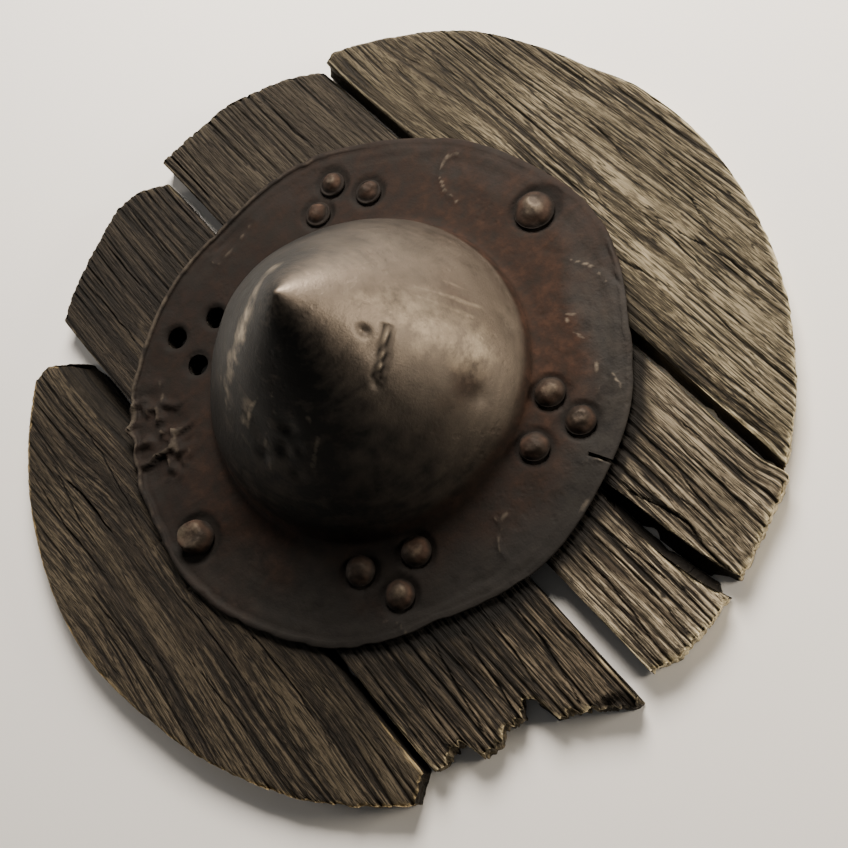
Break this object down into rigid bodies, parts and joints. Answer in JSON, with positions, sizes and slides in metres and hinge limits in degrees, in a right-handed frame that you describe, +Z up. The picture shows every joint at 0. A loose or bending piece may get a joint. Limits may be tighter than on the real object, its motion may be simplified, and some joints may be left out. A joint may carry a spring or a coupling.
{
  "type": "buckler",
  "caption": "Small round wooden shield of old planks under a riveted conical iron boss, with a wooden grip let into its back, lying boss up.",
  "frame": {"origin": "on the boss's axis, at the middle of the grip's back face, level with the planks' back faces that the buckler rests on", "axes": "+Z up out of the boss, +Y along the wood's grain, +X across the planks and along the grip"},
  "size_m": [0.3553, 0.3546, 0.1063],
  "materials": {
    "weathered_oak": "weathered, open grain, unvarnished",
    "grip_wood": "worn smooth by the hand",
    "rusted_iron": "beaten, rusted and burnished by wear",
    "rivet_iron": "hammered and rusted"
  },
  "bodies": {
    "root": {"plank_a": "weathered_oak", "plank_b": "weathered_oak", "plank_c": "weathered_oak", "plank_d": "weathered_oak", "grip_bar": "grip_wood", "boss": "rusted_iron", "grip_rivet_a": "rivet_iron", "grip_rivet_d": "rivet_iron", "rivet_far_b_1": "rivet_iron", "rivet_far_b_2": "rivet_iron", "rivet_far_b_3": "rivet_iron", "rivet_near_b_1": "rivet_iron", "rivet_near_b_2": "rivet_iron", "rivet_near_b_3": "rivet_iron", "rivet_near_c_1": "rivet_iron", "rivet_near_c_2": "rivet_iron", "rivet_near_c_3": "rivet_iron"}
  },
  "joints": []
}
